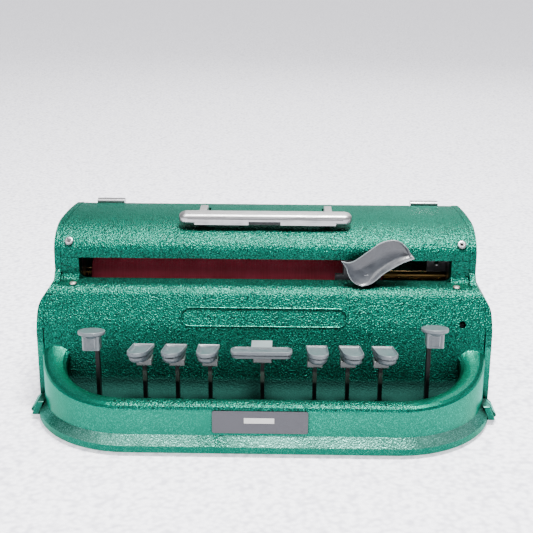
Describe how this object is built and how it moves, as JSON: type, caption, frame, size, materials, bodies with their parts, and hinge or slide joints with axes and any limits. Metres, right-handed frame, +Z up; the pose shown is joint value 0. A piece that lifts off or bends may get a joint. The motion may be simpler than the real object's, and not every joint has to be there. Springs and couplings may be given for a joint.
{
  "type": "braille typewriter",
  "caption": "Mechanical braille typewriter with dot keys on upright stems, round front rail, lid with folding handle, paper roller, sliding embossing head and side knobs.",
  "frame": {"origin": "centre of the bounding box at table level", "axes": "+X to the operator's right, +Y away from the operator, +Z up"},
  "size_m": [0.38, 0.228, 0.15],
  "materials": {
    "green_enamel": "hammered metallic enamel",
    "grey_plastic": "moulded, satin",
    "dark_grey_plastic": "moulded, semi-gloss",
    "black_steel": "black, slightly polished by use",
    "plated_steel": "plated steel",
    "satin_metal": "satin metal",
    "brass": "machined brass",
    "maroon_rubber": "ground rubber",
    "black_rubber": "moulded rubber",
    "label": "plain dark plate, nothing printed"
  },
  "bodies": {
    "frame": {"front_cover": "green_enamel", "side_panel_left": "green_enamel", "side_panel_right": "green_enamel", "back_panel": "green_enamel", "top_cover": "green_enamel", "base_plate": "black_steel", "foot_front_left": "black_rubber", "foot_front_right": "black_rubber", "foot_rear_left": "black_rubber", "foot_rear_right": "black_rubber", "lid_screw_left": "plated_steel", "lid_screw_right": "plated_steel", "label_plate": "label", "handle_hinge_rod": "plated_steel", "side_frame_left": "plated_steel", "side_frame_right": "plated_steel", "key_shaft": "plated_steel", "key_spring_comb": "plated_steel", "carriage_rod_low": "plated_steel", "carriage_rod_high": "plated_steel", "spacing_rack": "plated_steel", "bell": "brass"},
    "key_line_space": {"lever_line_space": "black_steel", "cap_line_space": "grey_plastic"},
    "key_dot_3": {"lever_dot_3": "black_steel", "cap_dot_3": "grey_plastic"},
    "key_dot_2": {"lever_dot_2": "black_steel", "cap_dot_2": "grey_plastic"},
    "key_dot_1": {"lever_dot_1": "black_steel", "cap_dot_1": "grey_plastic"},
    "key_space": {"lever_space": "black_steel", "cap_space": "grey_plastic"},
    "key_dot_4": {"lever_dot_4": "black_steel", "cap_dot_4": "grey_plastic"},
    "key_dot_5": {"lever_dot_5": "black_steel", "cap_dot_5": "grey_plastic"},
    "key_dot_6": {"lever_dot_6": "black_steel", "cap_dot_6": "grey_plastic"},
    "key_back_space": {"lever_back_space": "black_steel", "cap_back_space": "grey_plastic"},
    "bar_dot_1": {"bar_dot_1": "plated_steel"},
    "bar_dot_2": {"bar_dot_2": "plated_steel"},
    "bar_dot_3": {"bar_dot_3": "plated_steel"},
    "bar_dot_4": {"bar_dot_4": "plated_steel"},
    "bar_dot_5": {"bar_dot_5": "plated_steel"},
    "bar_dot_6": {"bar_dot_6": "plated_steel"},
    "roller": {"paper_roller": "maroon_rubber", "roller_shaft": "brass", "roller_gear": "brass"},
    "knobs": {"knob_shaft": "plated_steel", "knob_gear": "brass", "knob_left": "dark_grey_plastic", "knob_right": "dark_grey_plastic"},
    "paper_release": {"paper_release": "plated_steel"},
    "pressure_roller": {"pressure_roller": "black_rubber"},
    "carriage": {"carriage_block": "black_steel", "embossing_head": "satin_metal"},
    "head_lever": {"head_lever": "dark_grey_plastic"},
    "handle": {"carrying_handle": "satin_metal"},
    "bell_hammer": {"bell_hammer": "plated_steel"}
  },
  "joints": [
    {"name": "press_line_space", "type": "hinge", "parent": "frame", "child": "key_line_space", "pos_m": [-0.1239, -0.022, 0.016], "axis": [1, 0, 0], "range_deg": [0, 8.5], "stiffness_Nm_per_rad": 0.3, "springref_deg": -14.32, "deforming": ["key_spring_comb"]},
    {"name": "press_dot_3", "type": "hinge", "parent": "frame", "child": "key_dot_3", "pos_m": [-0.0887, -0.022, 0.016], "axis": [1, 0, 0], "range_deg": [0, 8.5], "stiffness_Nm_per_rad": 0.3, "springref_deg": -14.32, "deforming": ["key_spring_comb"]},
    {"name": "press_dot_2", "type": "hinge", "parent": "frame", "child": "key_dot_2", "pos_m": [-0.064, -0.022, 0.016], "axis": [1, 0, 0], "range_deg": [0, 8.5], "stiffness_Nm_per_rad": 0.3, "springref_deg": -14.32, "deforming": ["key_spring_comb"]},
    {"name": "press_dot_1", "type": "hinge", "parent": "frame", "child": "key_dot_1", "pos_m": [-0.0393, -0.022, 0.016], "axis": [1, 0, 0], "range_deg": [0, 8.5], "stiffness_Nm_per_rad": 0.3, "springref_deg": -14.32, "deforming": ["key_spring_comb"]},
    {"name": "press_space", "type": "hinge", "parent": "frame", "child": "key_space", "pos_m": [0, -0.022, 0.016], "axis": [1, 0, 0], "range_deg": [0, 8.5], "stiffness_Nm_per_rad": 0.3, "springref_deg": -14.32, "deforming": ["key_spring_comb"]},
    {"name": "press_dot_4", "type": "hinge", "parent": "frame", "child": "key_dot_4", "pos_m": [0.0393, -0.022, 0.016], "axis": [1, 0, 0], "range_deg": [0, 8.5], "stiffness_Nm_per_rad": 0.3, "springref_deg": -14.32, "deforming": ["key_spring_comb"]},
    {"name": "press_dot_5", "type": "hinge", "parent": "frame", "child": "key_dot_5", "pos_m": [0.064, -0.022, 0.016], "axis": [1, 0, 0], "range_deg": [0, 8.5], "stiffness_Nm_per_rad": 0.3, "springref_deg": -14.32, "deforming": ["key_spring_comb"]},
    {"name": "press_dot_6", "type": "hinge", "parent": "frame", "child": "key_dot_6", "pos_m": [0.0887, -0.022, 0.016], "axis": [1, 0, 0], "range_deg": [0, 8.5], "stiffness_Nm_per_rad": 0.3, "springref_deg": -14.32, "deforming": ["key_spring_comb"]},
    {"name": "press_back_space", "type": "hinge", "parent": "frame", "child": "key_back_space", "pos_m": [0.1239, -0.022, 0.016], "axis": [1, 0, 0], "range_deg": [0, 8.5], "stiffness_Nm_per_rad": 0.3, "springref_deg": -14.32, "deforming": ["key_spring_comb"]},
    {"name": "lift_dot_1", "type": "slide", "parent": "frame", "child": "bar_dot_1", "axis": [0, 0, 1], "range_m": [0, 0.00354]},
    {"name": "lift_dot_2", "type": "slide", "parent": "frame", "child": "bar_dot_2", "axis": [0, 0, 1], "range_m": [0, 0.00394]},
    {"name": "lift_dot_3", "type": "slide", "parent": "frame", "child": "bar_dot_3", "axis": [0, 0, 1], "range_m": [0, 0.00434]},
    {"name": "lift_dot_4", "type": "slide", "parent": "frame", "child": "bar_dot_4", "axis": [0, 0, 1], "range_m": [0, 0.00474]},
    {"name": "lift_dot_5", "type": "slide", "parent": "frame", "child": "bar_dot_5", "axis": [0, 0, 1], "range_m": [0, 0.00514]},
    {"name": "lift_dot_6", "type": "slide", "parent": "frame", "child": "bar_dot_6", "axis": [0, 0, 1], "range_m": [0, 0.00554]},
    {"name": "roller_turn", "type": "hinge", "parent": "frame", "child": "roller", "pos_m": [0, 0.038, 0.091], "axis": [1, 0, 0], "continuous": true},
    {"name": "knob_turn", "type": "hinge", "parent": "frame", "child": "knobs", "pos_m": [0, 0.056, 0.042], "axis": [1, 0, 0], "continuous": true},
    {"name": "release_tilt", "type": "hinge", "parent": "frame", "child": "paper_release", "pos_m": [0, 0.086, 0.108], "axis": [-1, 0, 0], "range_deg": [0, 15]},
    {"name": "pressure_turn", "type": "hinge", "parent": "paper_release", "child": "pressure_roller", "pos_m": [0, 0.05991, 0.10365], "axis": [1, 0, 0], "continuous": true},
    {"name": "carriage_travel", "type": "slide", "parent": "frame", "child": "carriage", "axis": [1, 0, 0], "range_m": [-0.198, 0.032]},
    {"name": "head_lever_lift", "type": "hinge", "parent": "carriage", "child": "head_lever", "pos_m": [0.083, 0.005, 0.106], "axis": [-1, 0, 0], "range_deg": [0, 10], "stiffness_Nm_per_rad": 0.2, "springref_deg": -14.32},
    {"name": "handle_swing", "type": "hinge", "parent": "frame", "child": "handle", "pos_m": [0, 0.058, 0.1325], "axis": [-1, 0, 0], "range_deg": [0, 90]},
    {"name": "hammer_swing", "type": "hinge", "parent": "frame", "child": "bell_hammer", "pos_m": [-0.0915, 0.084, 0.036], "axis": [0, 0, 1], "range_deg": [-10, 12], "stiffness_Nm_per_rad": 0.004}
  ],
  "couplings": [
    {"joint": "lift_dot_1", "follows": "press_dot_1", "m_per_rad": 0.0235},
    {"joint": "lift_dot_2", "follows": "press_dot_2", "m_per_rad": 0.0262},
    {"joint": "lift_dot_3", "follows": "press_dot_3", "m_per_rad": 0.0289},
    {"joint": "lift_dot_4", "follows": "press_dot_4", "m_per_rad": 0.0316},
    {"joint": "lift_dot_5", "follows": "press_dot_5", "m_per_rad": 0.0343},
    {"joint": "lift_dot_6", "follows": "press_dot_6", "m_per_rad": 0.037},
    {"joint": "knob_turn", "follows": "roller_turn", "ratio": -1}
  ]
}
